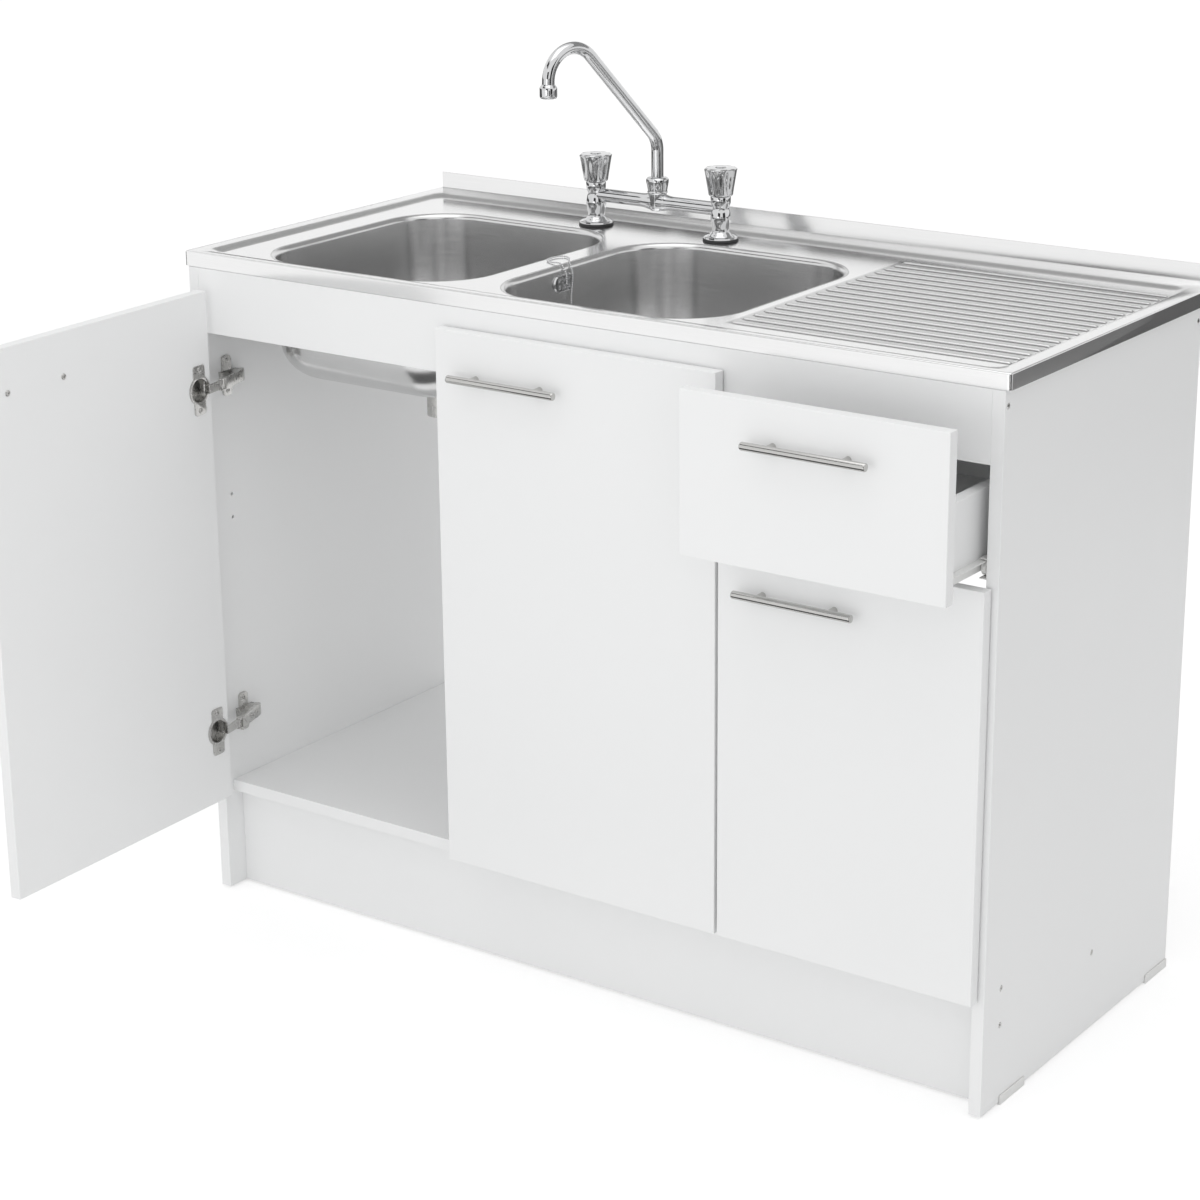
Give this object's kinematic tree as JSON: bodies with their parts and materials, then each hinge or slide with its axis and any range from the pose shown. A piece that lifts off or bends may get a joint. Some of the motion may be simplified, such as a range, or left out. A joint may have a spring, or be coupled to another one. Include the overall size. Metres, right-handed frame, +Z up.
{
  "type": "kitchen sink unit",
  "caption": "Floor-standing kitchen sink unit: white cabinet with hinged doors and a drawer under a stainless steel top with two bowls, a ribbed drainer and a bridge mixer tap.",
  "frame": {"origin": "floor level, under the middle of the sink top's rectangle in plan", "axes": "+X to the right as seen from the front, along the unit's length; +Y back towards the wall; +Z up"},
  "size_m": [1.2, 0.963, 1.1554],
  "materials": {
    "white_board": "smooth white melamine",
    "white_plastic": "matt",
    "sink_steel": "satin",
    "polished_chrome": "polished",
    "black_rubber": "matt",
    "satin_nickel": "satin nickel plate",
    "painted_runner": "white powder coat"
  },
  "bodies": {
    "carcass": {"left_side_panel": "white_board", "right_side_panel": "white_board", "partition": "white_board", "bottom_panel": "white_board", "plinth": "white_board", "floor_rail": "white_board", "front_top_rail": "white_board", "rear_top_rail": "white_board", "foot_left_front": "white_plastic", "foot_left_rear": "white_plastic", "foot_right_front": "white_plastic", "foot_right_rear": "white_plastic", "sink_deck": "sink_steel", "left_bowl": "sink_steel", "right_bowl": "sink_steel", "overflow_rosette": "polished_chrome", "plug_chain": "polished_chrome", "plug": "black_rubber", "tap_body": "polished_chrome", "left_door_upper_arm": "satin_nickel", "left_door_lower_arm": "satin_nickel", "middle_door_upper_arm": "satin_nickel", "middle_door_lower_arm": "satin_nickel", "right_door_upper_arm": "satin_nickel", "right_door_lower_arm": "satin_nickel", "cabinet_left_runner": "painted_runner", "cabinet_right_runner": "painted_runner"},
    "left_door": {"left_door": "white_board", "left_door_handle": "satin_nickel", "left_door_upper_cup": "satin_nickel", "left_door_lower_cup": "satin_nickel"},
    "left_door_links": {"left_door_upper_link": "satin_nickel", "left_door_lower_link": "satin_nickel"},
    "middle_door": {"middle_door": "white_board", "middle_door_handle": "satin_nickel", "middle_door_upper_cup": "satin_nickel", "middle_door_lower_cup": "satin_nickel"},
    "middle_door_links": {"middle_door_upper_link": "satin_nickel", "middle_door_lower_link": "satin_nickel"},
    "right_door": {"right_door": "white_board", "right_door_handle": "satin_nickel", "right_door_upper_cup": "satin_nickel", "right_door_lower_cup": "satin_nickel"},
    "right_door_links": {"right_door_upper_link": "satin_nickel", "right_door_lower_link": "satin_nickel"},
    "drawer": {"drawer_front": "white_board", "drawer_handle": "satin_nickel", "drawer_left_side": "white_board", "drawer_right_side": "white_board", "drawer_back": "white_board", "drawer_bottom": "white_board", "drawer_left_runner": "painted_runner", "drawer_right_runner": "painted_runner"},
    "front_rollers": {"left_front_roller": "white_plastic", "right_front_roller": "white_plastic"},
    "rear_rollers": {"left_rear_roller": "white_plastic", "right_rear_roller": "white_plastic"},
    "spout": {"spout": "polished_chrome"},
    "left_tap_handle": {"left_tap_handle": "polished_chrome"},
    "right_tap_handle": {"right_tap_handle": "polished_chrome"}
  },
  "joints": [
    {"name": "left_door_link_turn", "type": "hinge", "parent": "carcass", "child": "left_door_links", "pos_m": [-0.55, -0.2677, 0.5], "axis": [0, 0, 1], "range_deg": [-66.89, 9.13]},
    {"name": "left_door_hinge", "type": "hinge", "parent": "left_door_links", "child": "left_door", "pos_m": [-0.55435, -0.29444, 0.5], "axis": [0, 0, -1], "range_deg": [-154.88, 21.12]},
    {"name": "middle_door_link_turn", "type": "hinge", "parent": "carcass", "child": "middle_door_links", "pos_m": [0.198, -0.2677, 0.5], "axis": [0, 0, -1], "range_deg": [0, 66.89]},
    {"name": "middle_door_hinge", "type": "hinge", "parent": "middle_door_links", "child": "middle_door", "pos_m": [0.2243, -0.2742, 0.5], "axis": [0, 0, 1], "range_deg": [0, 154.88]},
    {"name": "right_door_link_turn", "type": "hinge", "parent": "carcass", "child": "right_door_links", "pos_m": [0.55, -0.2677, 0.5], "axis": [0, 0, -1], "range_deg": [0, 76.01]},
    {"name": "right_door_hinge", "type": "hinge", "parent": "right_door_links", "child": "right_door", "pos_m": [0.5763, -0.2742, 0.5], "axis": [0, 0, 1], "range_deg": [0, 176]},
    {"name": "drawer_slide", "type": "slide", "parent": "carcass", "child": "drawer", "axis": [0, -1, 0], "range_m": [-0.082, 0.218]},
    {"name": "front_roller_turn", "type": "hinge", "parent": "carcass", "child": "front_rollers", "pos_m": [0.411, -0.256, 0.6695], "axis": [1, 0, 0], "range_deg": [-522.5, 1388.3]},
    {"name": "rear_roller_turn", "type": "hinge", "parent": "drawer", "child": "rear_rollers", "pos_m": [0.411, 0.034, 0.6693], "axis": [1, 0, 0], "range_deg": [-522.5, 1388.3]},
    {"name": "spout_swivel", "type": "hinge", "parent": "carcass", "child": "spout", "pos_m": [-0.1635, 0.177, 0.96], "axis": [0, 0, 1], "continuous": true},
    {"name": "left_tap_turn", "type": "hinge", "parent": "carcass", "child": "left_tap_handle", "pos_m": [-0.2635, 0.177, 0.96], "axis": [0, 0, 1], "range_deg": [0, 720]},
    {"name": "right_tap_turn", "type": "hinge", "parent": "carcass", "child": "right_tap_handle", "pos_m": [-0.0635, 0.177, 0.96], "axis": [0, 0, 1], "range_deg": [0, 720]}
  ],
  "couplings": [
    {"joint": "left_door_link_turn", "follows": "left_door_hinge", "ratio": 0.43182},
    {"joint": "middle_door_link_turn", "follows": "middle_door_hinge", "ratio": 0.43182},
    {"joint": "right_door_link_turn", "follows": "right_door_hinge", "ratio": 0.43182},
    {"joint": "front_roller_turn", "follows": "drawer_slide", "rad_per_m": 111.11},
    {"joint": "rear_roller_turn", "follows": "drawer_slide", "rad_per_m": 111.11}
  ]
}
